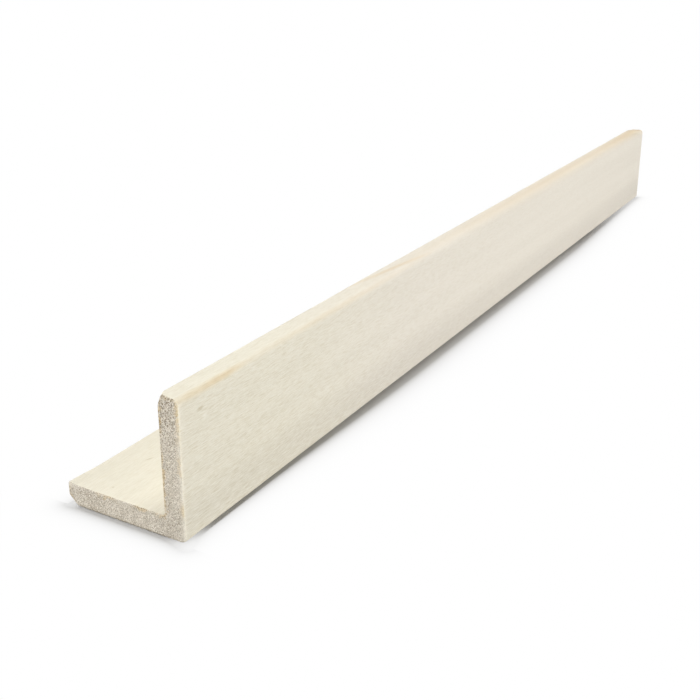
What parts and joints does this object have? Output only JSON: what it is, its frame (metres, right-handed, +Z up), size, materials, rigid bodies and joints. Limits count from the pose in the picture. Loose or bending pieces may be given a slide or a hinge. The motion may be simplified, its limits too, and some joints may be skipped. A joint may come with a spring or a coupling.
{
  "type": "outside corner trim",
  "caption": "Straight length of pale wood trim with an L section, eased edges and sawn ends, for covering an outside wall corner.",
  "frame": {"origin": "on the floor under the middle of the trim's bounding box", "axes": "+Y along the length, +Z up along the upright leg, +X across, out of the upright leg's outer face"},
  "size_m": [0.045, 0.47, 0.0459],
  "materials": {
    "pale_wood": "bare planed wood, matt, with sawn end grain"
  },
  "bodies": {
    "root": {"corner_trim": "pale_wood"}
  },
  "joints": []
}
